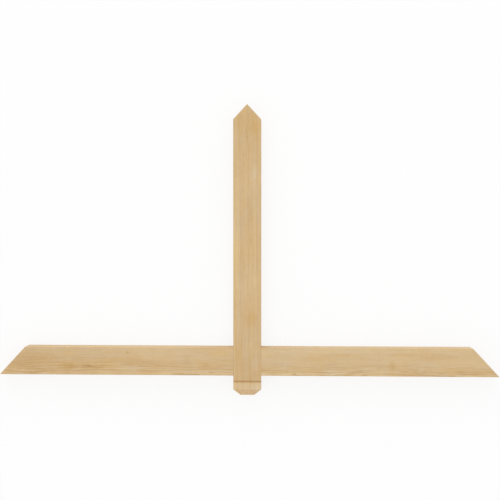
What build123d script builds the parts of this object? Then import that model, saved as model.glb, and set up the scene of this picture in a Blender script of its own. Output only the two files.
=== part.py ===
from build123d import *
import os

# Timber gable bracket: a king post with a bevelled foot, and a tie beam in two arms
# tenoned into its sides. Every outer end lies on one of the two roof lines.
# The bracket lies on its back. +X runs along the tie, +Y up the post to the peak, and +Z
# out of the front faces. The origin is on the back, where the post's centre line crosses
# the line of the tie's underside. Lengths are in millimetres.

# Roof lines, which rise by roof_rise in each roof_run and meet at the peak
span = 1828.8  # tip to tip along the tie's underside, 72 in
roof_rise = 13.0
roof_run = 12.0

# Timbers, planed to the same thickness with their long edges eased
thickness = 50.8  # back to front, 2 in
post_width = 101.6  # 4 in
tie_height = 101.6  # 4 in
eased_radius = 1.2

# Foot of the post, below the tie's underside
foot_drop = 76.2  # 3 in
foot_bevel = 25.4  # leg of the 45 degree bevels on the front and both sides, 1 in
groove_drop = 22.2  # down to the middle of the groove across the front, 7/8 in
groove_width = 9.5
groove_depth = 4.8

# Hidden joint of each arm: a stub tenon in a blind mortise
tenon_length = 31.8
tenon_thickness = 15.9
tenon_set_in = 19.1  # from the arm's top and underside to its tenon
mortise_play = 0.3  # around the tenon
mortise_spare = 1.6  # past the tenon's end, for glue

# Places that follow from the sizes above
half_post = post_width / 2
peak_y = span / 2 * roof_rise / roof_run
foot_y = -foot_drop
bevel_y = foot_y + foot_bevel
groove_y = -groove_drop
tenon_height = tie_height - 2 * tenon_set_in
joint_centre = (tie_height / 2, thickness / 2)
left_roof_line = Plane(origin=(0, peak_y, 0), z_dir=(-roof_rise, roof_run, 0))
right_roof_line = Plane(origin=(0, peak_y, 0), z_dir=(roof_rise, roof_run, 0))

os.makedirs("parts", exist_ok=True)

# The king post runs through from the peak to its foot
with BuildPart() as king_post:
    with BuildSketch(Plane.XZ.offset(-peak_y)):
        with Locations((0, thickness / 2)):
            RectangleRounded(post_width, thickness, eased_radius)
    extrude(amount=peak_y - foot_y)
    # Both cuts of the peak
    split(bisect_by=left_roof_line, keep=Keep.BOTTOM)
    split(bisect_by=right_roof_line, keep=Keep.BOTTOM)
    # Bevels of the foot: left side, right side and front
    for x_side, z_side in ((-1, 0), (1, 0), (0, 1)):
        bevel = Plane(
            origin=(x_side * half_post, bevel_y, z_side * thickness),
            z_dir=(x_side, -1, z_side),
        )
        split(bisect_by=bevel, keep=Keep.BOTTOM)
    # V-groove across the front, above the bevels
    with BuildSketch(Plane.YZ):
        with BuildLine():
            Polyline(
                (groove_y - groove_width / 2, thickness),
                (groove_y, thickness - groove_depth),
                (groove_y + groove_width / 2, thickness),
                close=True,
            )
        make_face()
    extrude(amount=half_post, both=True, mode=Mode.SUBTRACT)
    # One blind mortise in each side
    for side in (-1, 1):
        with BuildSketch(Plane.YZ.offset(side * half_post)):
            with Locations(joint_centre):
                Rectangle(
                    tenon_height + 2 * mortise_play,
                    tenon_thickness + 2 * mortise_play,
                )
        extrude(amount=-side * (tenon_length + mortise_spare), mode=Mode.SUBTRACT)
king_post.part.label = "king_post"

# The left arm: its shoulder stands against the post, and its outer end follows the roof
with BuildPart() as tie_arm_left:
    with BuildSketch(Plane.YZ.offset(-half_post)):
        with Locations(joint_centre):
            RectangleRounded(tie_height, thickness, eased_radius)
    extrude(amount=half_post - span / 2)
    split(bisect_by=left_roof_line, keep=Keep.BOTTOM)
    with BuildSketch(Plane.YZ.offset(-half_post)):
        with Locations(joint_centre):
            Rectangle(tenon_height, tenon_thickness)
    extrude(amount=tenon_length)
tie_arm_left.part.label = "tie_arm_left"

# The right arm is the left one's mirror image
with BuildPart() as tie_arm_right:
    mirror(tie_arm_left.part, about=Plane.YZ)
tie_arm_right.part.label = "tie_arm_right"

export_step(king_post.part, "parts/king_post.step")
export_step(tie_arm_left.part, "parts/tie_arm_left.step")
export_step(tie_arm_right.part, "parts/tie_arm_right.step")
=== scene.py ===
"""The looks of a timber gable bracket of planed pale softwood, lying on its back on a white floor.

The three timbers keep the shape of their CAD nodes. Each gets its own piece of wood: growth
rings about a pith outside the section, streaks, fibres and figure that follow the rings,
end grain on every sawn face, and the marks that this bracket's timbers show.
"""

from __future__ import annotations

import logging
from dataclasses import dataclass, replace
from enum import Enum
from typing import Any

import bpy
from mathutils import Matrix, Vector


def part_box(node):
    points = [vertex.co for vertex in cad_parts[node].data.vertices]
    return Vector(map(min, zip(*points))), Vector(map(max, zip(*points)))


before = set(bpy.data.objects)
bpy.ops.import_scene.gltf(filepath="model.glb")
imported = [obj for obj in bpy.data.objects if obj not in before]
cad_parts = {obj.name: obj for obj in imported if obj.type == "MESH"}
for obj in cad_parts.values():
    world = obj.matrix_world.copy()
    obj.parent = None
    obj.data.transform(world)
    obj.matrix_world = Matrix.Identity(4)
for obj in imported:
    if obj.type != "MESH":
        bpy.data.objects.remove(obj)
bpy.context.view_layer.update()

log = logging.getLogger("gable_bracket")

Colour = tuple[float, float, float]
Shaded = bpy.types.Material | bpy.types.World

MM = 0.001
WHITE = (1.0, 1.0, 1.0, 1.0)

# Wood that is darker is also more golden: how much each channel follows a change of tone
DARKENING = (0.6, 1.0, 1.7)
# What one step of warmth does to each channel
WARMER = (0.02, -0.003, -0.08)
# How much warmer end grain is than the timber's faces
SAWN_WARMER = (0.03, -0.02, -0.05)


def linear(red: float, green: float, blue: float) -> Colour:
    """A display colour, with channels from 0 to 255, as scene linear values.

    Args:
        red: the red channel.
        green: the green channel.
        blue: the blue channel.

    Returns:
        The three linear channels, from 0 to 1.
    """
    shares = (channel / 255 for channel in (red, green, blue))
    return tuple(s / 12.92 if s <= 0.04045 else ((s + 0.055) / 1.055) ** 2.4 for s in shares)


class Signal:
    """A value or vector inside a shader. Python operators on it add the nodes they need."""

    def __init__(self, shader: Shader, socket: bpy.types.NodeSocket) -> None:
        """Wraps an output socket of a shader."""
        self.shader = shader
        self.socket = socket

    @property
    def is_vector(self) -> bool:
        """True for a vector or a colour."""
        return self.socket.type in ("VECTOR", "RGBA")

    def _join(self, operation: str, first: Any, second: Any) -> Signal:
        """Joins two operands in a Math node, or a Vector Math node where either is a vector.

        Args:
            operation: the node's operation.
            first: the first value, vector or Signal.
            second: the second one.

        Returns:
            The result.
        """
        wide = any(
            one.is_vector if isinstance(one, Signal) else isinstance(one, tuple)
            for one in (first, second)
        )
        work = self.shader.vector_maths if wide else self.shader.maths
        return work(operation, first, second)

    def __add__(self, other: Any) -> Signal:
        """self + other."""
        return self._join("ADD", self, other)

    def __radd__(self, other: Any) -> Signal:
        """other + self."""
        return self._join("ADD", other, self)

    def __sub__(self, other: Any) -> Signal:
        """self - other."""
        return self._join("SUBTRACT", self, other)

    def __rsub__(self, other: Any) -> Signal:
        """other - self."""
        return self._join("SUBTRACT", other, self)

    def __mul__(self, other: Any) -> Signal:
        """self * other."""
        return self._join("MULTIPLY", self, other)

    def __rmul__(self, other: Any) -> Signal:
        """other * self."""
        return self._join("MULTIPLY", other, self)

    def __truediv__(self, other: Any) -> Signal:
        """self / other."""
        return self._join("DIVIDE", self, other)

    def __rtruediv__(self, other: Any) -> Signal:
        """other / self."""
        return self._join("DIVIDE", other, self)

    def __pow__(self, power: Any) -> Signal:
        """self to a power."""
        return self._join("POWER", self, power)

    def __rpow__(self, base: Any) -> Signal:
        """A base to the power of self."""
        return self._join("POWER", base, self)

    def __abs__(self) -> Signal:
        """The size of self without its sign."""
        return self.shader.maths("ABSOLUTE", self)

    def rise(self, low: float, high: float) -> Signal:
        """A smooth step, 0 below low and 1 above high.

        Args:
            low: where the step begins.
            high: where the step ends.

        Returns:
            The step, from 0 to 1.
        """
        ends = {"From Min": low, "From Max": high, "To Min": 0.0, "To Max": 1.0}
        settings = {"interpolation_type": "SMOOTHSTEP"}
        return self.shader.node("ShaderNodeMapRange", settings, {"Value": self, **ends})

    def fall(self, low: float, high: float) -> Signal:
        """A smooth step down, 1 below low and 0 above high."""
        return 1 - self.rise(low, high)


class Shader:
    """The nodes of one material or world, and the few ways in which they are added."""

    def __init__(self, owner: Shaded) -> None:
        """Starts an empty node tree.

        Args:
            owner: the material or world that the nodes belong to.
        """
        owner.use_nodes = True
        self.owner = owner
        self.tree = owner.node_tree
        self.tree.nodes.clear()

    def add(self, kind: str, settings: dict[str, Any], inputs: dict[Any, Any]) -> bpy.types.Node:
        """Adds a node, sets it up, then fills its sockets.

        Args:
            kind: the node's type.
            settings: its properties, set first.
            inputs: what its sockets hold, by name or number: a value or a Signal.

        Returns:
            The new node.
        """
        node = self.tree.nodes.new(kind)
        for name, value in settings.items():
            setattr(node, name, value)
        for name, value in inputs.items():
            if isinstance(value, Signal):
                self.tree.links.new(value.socket, node.inputs[name])
            else:
                node.inputs[name].default_value = value
        return node

    def node(
        self, kind: str, settings: dict[str, Any], inputs: dict[Any, Any], output: Any = 0
    ) -> Signal:
        """Adds a node as add does, and reads one of its outputs, by name or number."""
        return Signal(self, self.add(kind, settings, inputs).outputs[output])

    def maths(self, operation: str, *operands: Any) -> Signal:
        """The result of a Math node on up to three values or Signals."""
        inputs = dict(enumerate(operands))
        return self.node("ShaderNodeMath", {"operation": operation}, inputs)

    def vector_maths(self, operation: str, *operands: Any, output: Any = 0) -> Signal:
        """A Vector Math node. A plain number stands for the vector with three of it.

        Args:
            operation: the node's operation.
            operands: vectors, numbers or Signals.
            output: "Value" for an operation that gives a number.

        Returns:
            The result.
        """
        wide = [(one,) * 3 if isinstance(one, (int, float)) else one for one in operands]
        inputs = dict(enumerate(wide))
        return self.node("ShaderNodeVectorMath", {"operation": operation}, inputs, output)

    def vector(self, x: Any, y: Any, z: Any) -> Signal:
        """A vector from its three parts."""
        return self.node("ShaderNodeCombineXYZ", {}, {0: x, 1: y, 2: z})

    def parts(self, vector: Signal) -> tuple[Signal, Signal, Signal]:
        """The three parts of a vector."""
        node = self.add("ShaderNodeSeparateXYZ", {}, {0: vector})
        return tuple(Signal(self, socket) for socket in node.outputs)

    def noise(self, at: Signal, detail: float = 2.0, colour: bool = False) -> Signal:
        """Smooth noise about one unit in size, from -1 to 1.

        Args:
            at: where the noise is read.
            detail: how many finer layers it has.
            colour: True for three noises in one vector.

        Returns:
            The noise.
        """
        inputs = {"Vector": at, "Scale": 1.0, "Detail": detail, "Roughness": 0.5}
        settings = {"noise_dimensions": "3D", "normalize": True}
        raw = self.node("ShaderNodeTexNoise", settings, inputs, 1 if colour else 0)
        return (raw - 0.5) * 2.0

    def blend(self, share: Any, first: Any, second: Any) -> Signal:
        """A mix of two colours.

        Args:
            share: how much of the second, from 0 to 1.
            first: a colour or Signal.
            second: a colour or Signal.

        Returns:
            The mixed colour.
        """
        first, second = (
            one if isinstance(one, Signal) else (*one, 1.0) for one in (first, second)
        )
        # A Mix node has sockets of one name for each type, so the colour ones go by number
        inputs = {0: share, 6: first, 7: second}
        return self.node("ShaderNodeMix", {"data_type": "RGBA"}, inputs, output=2)

    def finish(self, surface: Signal) -> Shaded:
        """Links the surface to the output.

        Args:
            surface: the shader to show.

        Returns:
            The finished material or world.
        """
        of_world = isinstance(self.owner, bpy.types.World)
        kind = "ShaderNodeOutputWorld" if of_world else "ShaderNodeOutputMaterial"
        self.add(kind, {}, {"Surface": surface})
        return self.owner


class Run(Enum):
    """Which way a timber's grain runs, as the order of the axes: along, across, deep."""

    ALONG_THE_TIE = (0, 1, 2)
    UP_THE_POST = (1, 0, 2)


@dataclass(frozen=True)
class Section:
    """A timber's section in millimetres: its depth, half its face's width and that face's middle."""

    thickness: float
    half_width: float
    middle: float


@dataclass(frozen=True)
class Mottle:
    """Noise in the wood: its strength, its blots' length and width in millimetres, its layers."""

    strength: float
    length: float
    width: float
    detail: float = 2.0

    def times(self, factor: float) -> Mottle:
        """The same noise, with its strength times a factor."""
        return replace(self, strength=self.strength * factor)


@dataclass(frozen=True)
class Grain:
    """A place in a timber, in millimetres from the bracket's origin, by the way the grain runs."""

    shader: Shader
    along: Signal
    across: Signal
    deep: Signal
    cut: Signal
    section: Section
    seed: float

    @classmethod
    def read(cls, shader: Shader, run: Run, section: Section, seed: float) -> Grain:
        """Reads the place from the timber's own coordinates.

        Args:
            shader: the shader that reads it.
            run: which way the grain runs.
            section: the timber's section.
            seed: how far along its trunk this timber was cut.

        Returns:
            The place, and how squarely the surface there cuts the fibres.
        """
        coords = shader.add("ShaderNodeTexCoord", {}, {})
        place = shader.parts(Signal(shader, coords.outputs["Object"]) * (1 / MM))
        normal = shader.parts(Signal(shader, coords.outputs["Normal"]))
        along, across, deep = (place[axis] for axis in run.value)
        return cls(shader, along, across, deep, abs(normal[run.value[0]]), section, seed)

    def mottle(self, kind: Mottle, colour: bool = False) -> Signal:
        """Noise that is stretched along the grain.

        Args:
            kind: its strength, sizes and layers.
            colour: True for three noises in one vector.

        Returns:
            The noise, from minus its strength to its strength.
        """
        grown = self.along + self.seed
        shares = (grown / kind.length, self.across / kind.width, self.deep / kind.width)
        return self.shader.noise(self.shader.vector(*shares), kind.detail, colour) * kind.strength

    def distance(
        self, along: float, across: float, half_length: float, half_width: float, depth: float
    ) -> Signal:
        """How far a place lies from a spot on the front face.

        Args:
            along: the spot's place along the grain.
            across: its place across the face.
            half_length: half its length.
            half_width: half its width.
            depth: how deep it goes.

        Returns:
            The distance, 0 at the spot's heart and 1 at its edge.
        """
        offset = self.shader.vector(
            (self.along - along) / half_length,
            (self.across - across) / half_width,
            (self.deep - self.section.thickness) / depth,
        )
        return self.shader.vector_maths("LENGTH", offset, output="Value")


@dataclass(frozen=True)
class Trunk:
    """How the tree grew: its rings about a pith that drifts and waves. Lengths in millimetres."""

    pith_across: float
    pith_deep: float
    seed: float
    ring: float
    waviness: float = 1.5
    lean: float = 0.008
    drift: Mottle = Mottle(5.0, length=420.0, width=150.0, detail=1.0)
    waves: Mottle = Mottle(1.0, length=150.0, width=26.0)
    ripples: Mottle = Mottle(0.25, length=30.0, width=5.0)
    feathers: Mottle = Mottle(0.2, length=14.0, width=0.9, detail=1.0)
    # Good and poor years: how many rings they add or take, and over what radius they change
    years: float = 1.2
    years_length: float = 15.0
    # Where in a ring, from 0 to 1, the latewood starts, is darkest and starts to end
    late_from: float = 0.15
    late_full: float = 0.9
    late_end: float = 0.93
    late_curve: float = 1.6
    faintest: float = 0.25

    def radius(self, grain: Grain) -> Signal:
        """The distance to the pith, through a trunk that drifts, waves and has feathery rings.

        Args:
            grain: the place in the timber.

        Returns:
            The distance in millimetres.
        """
        drift = (
            grain.mottle(self.drift, colour=True)
            + grain.mottle(self.waves.times(self.waviness), colour=True)
            + grain.mottle(self.ripples.times(self.waviness), colour=True)
            + grain.mottle(self.feathers, colour=True)
        )
        drift_across, drift_deep, _ = grain.shader.parts(drift)
        from_pith = grain.shader.vector(
            grain.across - self.pith_across + grain.along * self.lean + drift_across,
            grain.deep - self.pith_deep + drift_deep,
            0.0,
        )
        return grain.shader.vector_maths("LENGTH", from_pith, output="Value")

    def latewood(self, grain: Grain, radius: Signal) -> Signal:
        """The dark, hard part of each ring: it darkens slowly, ends sharply and varies in strength.

        Args:
            grain: the place in the timber.
            radius: how far it lies from the pith.

        Returns:
            How dark the ring is there, from 0 to 1.
        """
        shader = grain.shader
        pace = shader.noise(shader.vector(radius / self.years_length, self.seed, 0.0), 1.0)
        rings = radius / self.ring + self.years * pace
        share = shader.maths("FRACT", rings)
        count = shader.maths("FLOOR", rings)
        chance = shader.node(
            "ShaderNodeTexWhiteNoise", {"noise_dimensions": "1D"}, {"W": count + self.seed}
        )
        darkening = share.rise(self.late_from, self.late_full) ** self.late_curve
        band = darkening * share.fall(self.late_end, 1.0)
        return band * (self.faintest + (1.0 - self.faintest) * chance)


@dataclass(frozen=True)
class Figure:
    """How the wood shades from place to place: streaks that follow the rings, bands and clouds.

    The heart, near the pith, is vivid, and the rest is plain. A streak's size is its length,
    how far it spans the rings and its width across the face, in millimetres.
    """

    heart_from: float
    heart_to: float
    plain: float = 0.35
    vivid: float = 1.0
    streaks: float = 0.12
    streak_size: tuple[float, float, float] = (120.0, 4.5, 60.0)
    fine_streaks: float = 0.13
    fine_streak_size: tuple[float, float, float] = (46.0, 1.1, 24.0)
    banding: float = 0.07
    bands: Mottle = Mottle(1.0, length=300.0, width=22.0, detail=1.0)
    clouds: Mottle = Mottle(0.07, length=200.0, width=42.0)
    small_clouds: Mottle = Mottle(0.055, length=38.0, width=30.0)
    flecks: Mottle = Mottle(0.05, length=14.0, width=5.0, detail=1.0)
    patches: Mottle = Mottle(0.7, length=150.0, width=34.0)

    def lively(self, grain: Grain, heart: Signal) -> Signal:
        """How strongly the rings and streaks show.

        Args:
            grain: the place in the timber.
            heart: 1 in the heart and 0 outside it.

        Returns:
            Their strength, about 1 in the heart.
        """
        even = self.plain + heart * (self.vivid - self.plain)
        return even * (1 + grain.mottle(self.patches))

    def tone(self, grain: Grain, radius: Signal, lively: Signal) -> Signal:
        """How the figure shades the wood.

        Args:
            grain: the place in the timber.
            radius: how far it lies from the pith.
            lively: how strongly the streaks show.

        Returns:
            The change of tone, negative where it is darker.
        """
        broad = self.streaks * self._streak(grain, radius, self.streak_size)
        fine = self.fine_streaks * self._streak(grain, radius, self.fine_streak_size)
        bands = grain.mottle(self.bands.times(self.banding))
        clouds = grain.mottle(self.clouds) + grain.mottle(self.small_clouds)
        return (broad + fine) * lively + bands + clouds + grain.mottle(self.flecks)

    def _streak(self, grain: Grain, radius: Signal, size: tuple[float, float, float]) -> Signal:
        """Noise that follows the rings.

        Args:
            grain: the place in the timber.
            radius: how far it lies from the pith.
            size: the streaks' length, their span of the rings and their width.

        Returns:
            The noise, from -1 to 1.
        """
        length, span, width = size
        grown = grain.along + grain.seed
        shares = (grown / length, radius / span, grain.across / width)
        return grain.shader.noise(grain.shader.vector(*shares))


@dataclass(frozen=True)
class Blot:
    """A soft patch that is darker, paler, warmer or more figured than the wood around it."""

    along: float
    across: float
    half_length: float
    half_width: float
    tone: float = 0.0
    warm: float = 0.0
    swell: float = 0.0
    depth: float = 24.0
    heart: float = 0.05
    rim: float = 1.15

    def share(self, grain: Grain, ragged: Signal) -> Signal:
        """How much a place has of the blot.

        Args:
            grain: the place in the timber.
            ragged: how far the blot's outline is pushed in or out there.

        Returns:
            The share, 1 in the blot's heart and 0 outside its rim.
        """
        distance = grain.distance(
            self.along, self.across, self.half_length, self.half_width, self.depth
        )
        return (distance + ragged).fall(self.heart, self.rim)


@dataclass(frozen=True)
class PinKnot:
    """A small knot with a dark rim. The grain flows round it in an eddy, sized in its radii."""

    along: float
    across: float
    radius: float
    strength: float
    swell: float = 2.2
    depth: float = 30.0
    oval: float = 1.25
    eddy_length: float = 9.0
    eddy_width: float = 3.2
    uneven: Mottle = Mottle(0.2, length=3.5, width=2.0)
    core_dark: float = 0.24
    rim_dark: float = 0.08
    ring_dark: float = 0.015
    ring_pace: float = 15.0
    eddy_dark: float = 0.04
    # Where each part starts to fade, in shares of the knot's or the eddy's radius
    core_solid: float = 0.9
    rings_solid: float = 0.8
    rim_from: float = 0.75
    faded: float = 1.25
    eddy_dark_solid: float = 0.2
    eddy_swell_solid: float = 0.1

    def marks(self, grain: Grain) -> tuple[Signal, Signal]:
        """What the knot does to the wood.

        Args:
            grain: the place in the timber.

        Returns:
            How far it pushes the rings aside, and how much darker it is.
        """
        near = grain.distance(
            self.along, self.across, self.radius * self.oval, self.radius, self.depth
        )
        near = near + grain.mottle(self.uneven)
        eddy = grain.distance(
            self.along,
            self.across,
            self.radius * self.eddy_length,
            self.radius * self.eddy_width,
            self.depth,
        )
        core = near.fall(self.core_solid, self.faded)
        rim = near.rise(self.rim_from, 1.0) * near.fall(1.0, self.faded)
        ring = grain.shader.maths("SINE", near * self.ring_pace) * near.fall(self.rings_solid, 1.0)
        dark = (
            self.core_dark * core
            + self.rim_dark * rim
            + self.ring_dark * ring
            + self.eddy_dark * eddy.fall(self.eddy_dark_solid, 1.0)
        )
        return eddy.fall(self.eddy_swell_solid, 1.0) * self.swell, dark * self.strength


@dataclass(frozen=True)
class EasedEdge:
    """The long edges, eased and unevenly darker, up to a few millimetres in."""

    full: float = 0.6
    gone: float = 3.4
    level: float = 0.65
    uneven: Mottle = Mottle(0.7, length=22.0, width=9.0)

    def share(self, grain: Grain) -> Signal:
        """How much a place has of the edge.

        Args:
            grain: the place in the timber.

        Returns:
            The share, about 1 on the edge and 0 a little way in.
        """
        section = grain.section
        inset = section.half_width - abs(grain.across - section.middle)
        depth = section.thickness / 2 - abs(grain.deep - section.thickness / 2)
        near = (inset + depth).fall(self.full, self.gone)
        return near * (self.level + grain.mottle(self.uneven))


@dataclass(frozen=True)
class Face:
    """What a place on a timber's surface has of each feature of the wood."""

    grain: Grain
    radius: Signal
    heart: Signal
    lively: Signal
    late: Signal
    sawn: Signal
    edge: Signal
    hairs: Signal
    fibres: Signal
    canals: Signal


@dataclass(frozen=True)
class Planing:
    """How the planed and sawn faces feel: their fine height in millimetres and their roughness."""

    late_height: float = 0.035
    fibre_height: float = 0.03
    canal_depth: float = 0.05
    # The knives' waves along the timber, in radians per millimetre, and their slant across it
    knife_height: float = 0.004
    knife_turn: float = 2.0
    knife_slant: float = 0.02
    # The saw's lines on end grain
    saw_height: float = 0.05
    saw_pitch: float = 0.5
    saw_length: float = 14.0
    rough: float = 0.58
    late_smoother: float = 0.08
    fibre_rougher: float = 0.08
    sawn_rougher: float = 0.14
    edge_rougher: float = 0.06

    def height(self, face: Face) -> Signal:
        """The fine height: raised grain, knife waves and saw lines.

        Args:
            face: the wood's features at the place.

        Returns:
            The height in millimetres.
        """
        grain = face.grain
        raised = (
            self.late_height * face.late
            + self.fibre_height * face.fibres
            - self.canal_depth * face.canals
        )
        turn = grain.along * self.knife_turn + grain.across * self.knife_slant
        waves = grain.shader.maths("SINE", turn) * self.knife_height
        shares = (
            grain.along / self.saw_pitch,
            grain.across / self.saw_pitch,
            grain.deep / self.saw_length,
        )
        lines = grain.shader.noise(grain.shader.vector(*shares), 1.0)
        return raised + waves + face.sawn * lines * self.saw_height

    def roughness(self, face: Face) -> Signal:
        """The roughness of the surface.

        Args:
            face: the wood's features at the place.

        Returns:
            The roughness, from 0 to 1.
        """
        return (
            self.rough
            - self.late_smoother * face.late
            + self.fibre_rougher * face.fibres
            + self.sawn_rougher * face.sawn
            + self.edge_rougher * face.edge
        )


@dataclass(frozen=True)
class Foot:
    """The foot of the post: sanded paler below its groove, and painted shade on the groove's lower
    wall.

    Each channel is paler, or darker with that painted shade, by its own share, and end grain takes
    less of the sanding.
    """

    groove: float
    half_groove: float
    blur: float = 1.5
    paler: Colour = (0.09, 0.145, 0.26)
    paler_end_grain: float = 0.8
    # How much darker each channel of the groove's lower wall is painted, as shade
    painted_groove_shade: Colour = (0.10, 0.10, 0.11)

    def finished(self, wood: Signal, face: Face) -> Signal:
        """Sands the foot paler and paints shade on the groove's lower wall.

        Args:
            wood: the wood's colour.
            face: the wood's features at the place.

        Returns:
            The colour after that.
        """
        along = face.grain.along
        below = along.fall(self.groove - self.blur, self.groove + self.blur)
        sanded = below * (1.0 - (1.0 - self.paler_end_grain) * face.sawn)
        down = self.groove - along
        # Painted shade on the groove's lower wall, the end grain just below the groove
        wall = below * face.sawn * down.fall(self.half_groove, self.half_groove + self.blur)
        return wood * (1.0 + sanded * self.paler) * (1.0 - wall * self.painted_groove_shade)


@dataclass(frozen=True)
class Softwood:
    """Planed, unfinished softwood, with its marks. Lengths are in millimetres."""

    name: str
    run: Run
    pale: Colour
    tan: Colour
    trunk: Trunk
    figure: Figure
    blots: tuple[Blot, ...]
    knots: tuple[PinKnot, ...] = ()
    foot: Foot | None = None
    edge: EasedEdge = EasedEdge()
    planing: Planing = Planing()
    # What pushes the blots' outlines in and out
    ragged: Mottle = Mottle(0.4, length=26.0, width=8.0)
    frayed: Mottle = Mottle(0.35, length=60.0, width=2.5)
    # How squarely a face cuts the fibres before it looks sawn, and before it does so fully
    sawn_from: float = 0.3
    sawn_full: float = 0.55
    # The fibres, and the resin canals: these show where their noise is high, fainter in earlywood
    hairs: Mottle = Mottle(1.0, length=34.0, width=0.45)
    fibres: Mottle = Mottle(0.8, length=80.0, width=1.5)
    canals: Mottle = Mottle(1.0, length=6.0, width=0.42, detail=1.0)
    canal_from: float = 0.44
    canal_full: float = 0.62
    early_canals: float = 0.35
    # How much of the tan colour latewood has, and what end grain adds to it
    late_tan: float = 0.78
    late_sawn_tan: float = 0.2
    sawn_tan: float = 0.02
    # How much each feature shades the wood
    fibre_tone: float = 0.055
    hair_tone: float = 0.08
    sapwood_tone: float = 0.022
    canal_dark: float = 0.2
    edge_dark: float = 0.03
    # Warmer and cooler areas, in steps of warmth
    warm_areas: Mottle = Mottle(1.6, length=160.0, width=36.0, detail=1.0)
    warm_spots: Mottle = Mottle(1.1, length=60.0, width=20.0, detail=1.0)
    ior: float = 1.45
    specular: float = 0.35

    def material(self, section: Section) -> bpy.types.Material:
        """Makes the wood.

        Args:
            section: the timber's section.

        Returns:
            The material.
        """
        shader = Shader(bpy.data.materials.new(self.name))
        grain = Grain.read(shader, self.run, section, self.trunk.seed)
        swells, tones, warmth = self._marks(grain)
        face = self._face(grain, swells)
        height = self.planing.height(face)
        bump = shader.node(
            "ShaderNodeBump", {}, {"Strength": 1.0, "Distance": MM, "Height": height}
        )
        surface = shader.node(
            "ShaderNodeBsdfPrincipled",
            {},
            {
                "Base Color": self._colour(face, tones, warmth),
                "Roughness": self.planing.roughness(face),
                "Normal": bump,
                "IOR": self.ior,
                "Specular IOR Level": self.specular,
            },
        )
        return shader.finish(surface)

    def _marks(self, grain: Grain) -> tuple[Any, Any, Any]:
        """Adds up the blots and the pin knots.

        Args:
            grain: the place in the timber.

        Returns:
            How far they push the rings, and how they shade and warm the wood.
        """
        swells: Any = 0.0
        tones: Any = 0.0
        warmth: Any = 0.0
        ragged = grain.mottle(self.ragged) + grain.mottle(self.frayed)
        for blot in self.blots:
            share = blot.share(grain, ragged)
            if blot.swell:
                swells = share * blot.swell + swells
            if blot.tone:
                tones = share * blot.tone + tones
            if blot.warm:
                warmth = share * blot.warm + warmth
        for knot in self.knots:
            swell, dark = knot.marks(grain)
            swells = swell + swells
            tones = tones - dark
        return swells, tones, warmth

    def _face(self, grain: Grain, swells: Any) -> Face:
        """Works out the wood's features at a place.

        Args:
            grain: the place in the timber.
            swells: how far the marks push the rings there.

        Returns:
            The features.
        """
        radius = self.trunk.radius(grain) + swells
        heart = radius.fall(self.figure.heart_from, self.figure.heart_to)
        lively = self.figure.lively(grain, heart)
        late = self.trunk.latewood(grain, radius) * lively
        hairs = grain.mottle(self.hairs)
        canals = grain.mottle(self.canals).rise(self.canal_from, self.canal_full)
        return Face(
            grain=grain,
            radius=radius,
            heart=heart,
            lively=lively,
            late=late,
            sawn=grain.cut.rise(self.sawn_from, self.sawn_full),
            edge=self.edge.share(grain),
            hairs=hairs,
            fibres=hairs + grain.mottle(self.fibres),
            canals=canals * (self.early_canals + (1.0 - self.early_canals) * late),
        )

    def _colour(self, face: Face, tones: Any, warmth: Any) -> Signal:
        """The wood's colour.

        Args:
            face: the wood's features at the place.
            tones: how the marks shade it.
            warmth: how they warm it.

        Returns:
            The colour.
        """
        grain = face.grain
        tone = (
            self.figure.tone(grain, face.radius, face.lively)
            + self.fibre_tone * face.fibres
            + self.hair_tone * face.hairs
            + tones
            + self.sapwood_tone * (1 - face.heart)
            - self.canal_dark * face.canals
            - self.edge_dark * face.edge
        )
        warmth = warmth + grain.mottle(self.warm_areas) + grain.mottle(self.warm_spots)
        late_share = self.late_tan + self.late_sawn_tan * face.sawn
        tan_share = face.late * late_share + self.sawn_tan * face.sawn
        wood = grain.shader.blend(tan_share, self.pale, self.tan)
        wood = wood * (1.0 + tone * DARKENING) * (1.0 + warmth * WARMER)
        wood = wood * (1.0 + face.sawn * SAWN_WARMER)
        return self.foot.finished(wood, face) if self.foot else wood


@dataclass
class Timber:
    """A timber of the bracket, which keeps its CAD node's shape and gets its own wood."""

    node: str
    wood: Softwood

    def dress(self) -> bpy.types.Object:
        """Gives the node its wood.

        Returns:
            The CAD node's object.
        """
        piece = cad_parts[self.node]
        piece.data.materials.clear()
        piece.data.materials.append(self.wood.material(self._section()))
        return piece

    def _section(self) -> Section:
        """Reads the timber's section from the bounds of its CAD node.

        Returns:
            The section.
        """
        low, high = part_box(self.node)
        across = self.wood.run.value[1]
        return Section(
            thickness=(high[2] - low[2]) / MM,
            half_width=(high[across] - low[across]) / 2 / MM,
            middle=(high[across] + low[across]) / 2 / MM,
        )


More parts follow.
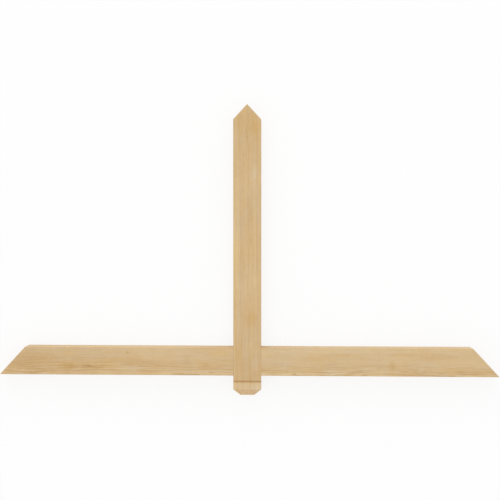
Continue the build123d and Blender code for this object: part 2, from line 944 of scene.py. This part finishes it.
@dataclass
class Studio:
    """A white floor, soft light from all round and from beyond the peak, and the camera.

    Places and sizes are in metres, the lens and its sensor in millimetres, and the shift in
    shares of the frame.
    """

    place: tuple[float, float, float] = (0.101, 0.5493, 2.7)
    aim: tuple[float, float, float] = (0.0207, 0.498, 0.0508)
    lens: float = 52.38
    sensor: float = 36.0
    shift: tuple[float, float] = (-0.0056, -0.0208)
    floor_reach: float = 9.0
    floor_drop: float = 0.0002
    floor_grey: float = 0.95
    floor_glow: float = 0.8
    sky: float = 0.914
    lamp_place: tuple[float, float, float] = (-1.0, 9.0, 4.3)
    lamp_aim: tuple[float, float, float] = (0.0, 0.3, 0.0)
    lamp_size: tuple[float, float] = (8.0, 4.0)
    lamp_power: float = 198.0

    def build(self) -> None:
        """Makes the floor, the light and the camera."""
        self._floor()
        self._sky()
        self._lamp()
        self._camera()

    def _floor(self) -> None:
        """A flat white floor, which keeps a pale shadow of the bracket."""
        reach = self.floor_reach
        corners = ((-reach, -reach), (reach, -reach), (reach, reach), (-reach, reach))
        mesh = bpy.data.meshes.new("floor")
        mesh.from_pydata([(x, y, -self.floor_drop) for x, y in corners], [], [(0, 1, 2, 3)])
        stand(mesh, "floor")
        shader = Shader(bpy.data.materials.new("white floor"))
        grey = (*(self.floor_grey,) * 3, 1.0)
        diffuse = shader.node("ShaderNodeBsdfDiffuse", {}, {"Color": grey})
        glow = shader.node("ShaderNodeEmission", {}, {"Color": WHITE, "Strength": 1.0})
        glowing = seen_directly(shader) * self.floor_glow
        mixed = shader.node("ShaderNodeMixShader", {}, {0: glowing, 1: diffuse, 2: glow})
        mesh.materials.append(shader.finish(mixed))

    def _sky(self) -> None:
        """Even light from all round. Where it is seen directly, it is white."""
        shader = Shader(bpy.data.worlds.new("studio"))
        level = self.sky + seen_directly(shader) * (1 - self.sky)
        light = shader.node("ShaderNodeBackground", {}, {"Color": WHITE, "Strength": level})
        bpy.context.scene.world = shader.finish(light)

    def _lamp(self) -> None:
        """One wide soft lamp, high up beyond the peak."""
        lamp = bpy.data.lights.new("overhead", "AREA")
        lamp.shape = "RECTANGLE"
        lamp.size, lamp.size_y = self.lamp_size
        lamp.energy = self.lamp_power
        holder = stand(lamp, "overhead")
        holder.matrix_world = aimed(Vector(self.lamp_place), Vector(self.lamp_aim))

    def _camera(self) -> None:
        """The camera, where the photograph was taken from."""
        camera = bpy.data.cameras.new("camera")
        camera.lens = self.lens
        camera.sensor_width = self.sensor
        camera.shift_x, camera.shift_y = self.shift
        holder = stand(camera, "camera")
        holder.matrix_world = aimed(Vector(self.place), Vector(self.aim))
        bpy.context.scene.camera = holder


def stand(data: bpy.types.ID, name: str) -> bpy.types.Object:
    """Puts a mesh, lamp or camera into the scene.

    Args:
        data: what the object holds.
        name: the object's name.

    Returns:
        The new object, at the origin.
    """
    holder = bpy.data.objects.new(name, data)
    bpy.context.scene.collection.objects.link(holder)
    return holder


def seen_directly(shader: Shader) -> Signal:
    """1 for rays that show the surface itself, in the picture or in a reflection.

    Args:
        shader: the shader that asks.

    Returns:
        1 for camera, glossy and transmission rays, else 0.
    """
    path = shader.add("ShaderNodeLightPath", {}, {})
    names = ("Is Camera Ray", "Is Glossy Ray", "Is Transmission Ray")
    camera, glossy, through = (Signal(shader, path.outputs[name]) for name in names)
    return shader.maths("MAXIMUM", shader.maths("MAXIMUM", camera, glossy), through)


def aimed(place: Vector, aim: Vector) -> Matrix:
    """The transform of a camera or lamp that stands at place, looks at aim and has +Y up.

    Args:
        place: where it stands.
        aim: the point it looks at.

    Returns:
        The world matrix.
    """
    back = (place - aim).normalized()
    right = Vector((0, 1, 0)).cross(back).normalized()
    up = back.cross(right)
    turn = Matrix((right, up, back)).transposed().to_4x4()
    return Matrix.Translation(place) @ turn


# The post is cut well away from the pith, so that its rings run straight. It is paler down its
# left edge, and darker at its top and round the joint.
POST_WOOD = Softwood(
    name="post wood",
    run=Run.UP_THE_POST,
    pale=linear(211, 181, 135),
    tan=linear(177, 135, 81),
    trunk=Trunk(pith_across=-150.0, pith_deep=-40.0, seed=310.0, ring=3.3),
    figure=Figure(heart_from=60.0, heart_to=100.0, plain=0.7, streaks=0.08, banding=0.02),
    foot=Foot(groove=-22.2, half_groove=4.75),
    blots=(
        Blot(925.0, 0.0, 75.0, 70.0, tone=-0.07, warm=0.5),
        Blot(905.0, 25.0, 26.0, 15.0, tone=-0.05, warm=0.6),
        Blot(835.0, -34.0, 60.0, 18.0, tone=-0.03, warm=0.6),
        Blot(735.0, 26.0, 30.0, 13.0, tone=0.09, warm=-1.2),
        Blot(700.0, 0.0, 60.0, 60.0, tone=0.03),
        Blot(580.0, 12.0, 66.0, 13.0, tone=-0.11),
        Blot(500.0, 12.0, 34.0, 8.0, tone=-0.06),
        Blot(400.0, -42.0, 500.0, 16.0, tone=0.065, warm=0.8),
        Blot(445.0, -38.0, 210.0, 17.0, tone=0.08),
        Blot(345.0, 28.0, 28.0, 15.0, tone=0.05),
        Blot(325.0, 4.0, 80.0, 70.0, tone=0.05),
        Blot(208.0, 16.0, 36.0, 24.0, tone=-0.07, warm=1.1),
        Blot(80.0, -34.0, 85.0, 20.0, tone=-0.09, warm=1.2),
        Blot(20.0, 4.0, 95.0, 80.0, tone=-0.08),
        Blot(46.0, 27.0, 34.0, 18.0, tone=0.08, warm=-1.0),
        Blot(-45.0, 36.0, 26.0, 30.0, tone=0.06),
    ),
    knots=(
        PinKnot(871.0, 0.0, radius=4.4, strength=0.25),
        PinKnot(806.0, -9.5, radius=4.4, strength=0.4),
    ),
)

# The left arm is cut above the pith. Its outer end is darker, with a swirl and dark streaks
# further in, a pale strip along its top and one small knot.
LEFT_WOOD = Softwood(
    name="left arm wood",
    run=Run.ALONG_THE_TIE,
    pale=linear(212, 182, 136),
    tan=linear(177, 135, 80),
    trunk=Trunk(pith_across=-4.0, pith_deep=-40.0, seed=1730.0, ring=2.2, waviness=2.0),
    figure=Figure(heart_from=104.0, heart_to=122.0, banding=0.04),
    blots=(
        Blot(-810.0, 45.0, 130.0, 80.0, tone=-0.10),
        Blot(-812.0, 30.0, 42.0, 14.0, tone=-0.06, swell=0.8),
        Blot(-740.0, 14.0, 180.0, 30.0, tone=-0.05),
        Blot(-657.0, 32.0, 44.0, 18.0, tone=-0.17, warm=0.7),
        Blot(-635.0, 37.0, 14.0, 6.0, tone=0.06, swell=1.8),
        Blot(-640.0, 88.0, 230.0, 44.0, tone=-0.045, warm=-0.8),
        Blot(-572.0, 29.0, 54.0, 9.0, tone=-0.10, swell=0.8),
        Blot(-500.0, 56.0, 54.0, 15.0, tone=-0.05, warm=0.4),
        Blot(-440.0, 42.0, 44.0, 6.0, tone=-0.08),
        Blot(-338.0, 38.0, 60.0, 5.5, tone=-0.06),
        Blot(-420.0, 26.0, 120.0, 11.0, tone=0.07, warm=-0.8),
        Blot(-222.0, 56.0, 18.0, 24.0, tone=-0.07, swell=-0.8),
        Blot(-230.0, 14.0, 170.0, 26.0, tone=0.04),
        Blot(-120.0, 4.0, 110.0, 12.0, tone=0.04, swell=1.4),
        Blot(-440.0, 104.0, 460.0, 9.0, tone=0.07, depth=70.0),
        Blot(-150.0, 36.0, 28.0, 10.0, tone=-0.13, swell=1.2),
        Blot(-290.0, 78.0, 150.0, 36.0, tone=0.05, warm=-0.2),
    ),
    knots=(PinKnot(-440.0, 82.5, radius=3.6, strength=0.8),),
)

# The right arm has closer and livelier rings, with pale patches and short dark streaks.
RIGHT_WOOD = Softwood(
    name="right arm wood",
    run=Run.ALONG_THE_TIE,
    pale=linear(213, 184, 139),
    tan=linear(180, 141, 85),
    trunk=Trunk(pith_across=-2.0, pith_deep=-38.0, seed=4120.0, ring=1.7, waviness=1.6),
    figure=Figure(heart_from=96.0, heart_to=107.0, vivid=1.15),
    blots=(
        Blot(440.0, 90.0, 460.0, 15.0, tone=0.05),
        Blot(140.0, 62.0, 130.0, 46.0, tone=0.04, warm=-0.6),
        Blot(78.0, 20.0, 40.0, 9.0, tone=-0.06, swell=1.0),
        Blot(145.0, 7.0, 56.0, 9.0, tone=0.08, swell=-0.9),
        Blot(341.0, 77.0, 84.0, 9.0, tone=-0.10),
        Blot(302.0, 42.0, 36.0, 18.0, tone=-0.03, warm=-0.3),
        Blot(320.0, 12.0, 64.0, 18.0, tone=0.10, warm=-0.9),
        Blot(413.0, 14.0, 70.0, 6.0, tone=-0.10),
        Blot(475.0, 16.0, 110.0, 22.0, tone=0.08),
        Blot(528.0, 36.0, 19.0, 25.0, tone=-0.10, warm=0.5),
        Blot(570.0, 78.0, 74.0, 12.0, tone=-0.07, warm=0.6),
        Blot(600.0, 17.0, 44.0, 9.0, tone=-0.05, swell=1.4),
        Blot(665.0, 42.0, 44.0, 14.0, tone=0.05, warm=-0.5),
        Blot(672.0, 70.0, 74.0, 26.0, tone=-0.06),
        Blot(752.0, 73.0, 46.0, 8.0, tone=-0.05, warm=-0.9),
        Blot(754.0, 18.0, 85.0, 14.0, tone=-0.06, warm=0.5),
    ),
)


def main() -> None:
    """Dresses the timbers, notes which wood each one got and sets up the studio."""
    logging.basicConfig(level=logging.INFO, format="%(message)s")
    bpy.context.scene.view_settings.view_transform = "Standard"
    timbers = (
        Timber("king_post", POST_WOOD),
        Timber("tie_arm_left", LEFT_WOOD),
        Timber("tie_arm_right", RIGHT_WOOD),
    )
    for timber in timbers:
        piece = timber.dress()
        log.info("%s: %s", piece.name, timber.wood.name)
    Studio().build()


if __name__ == "__main__":
    main()
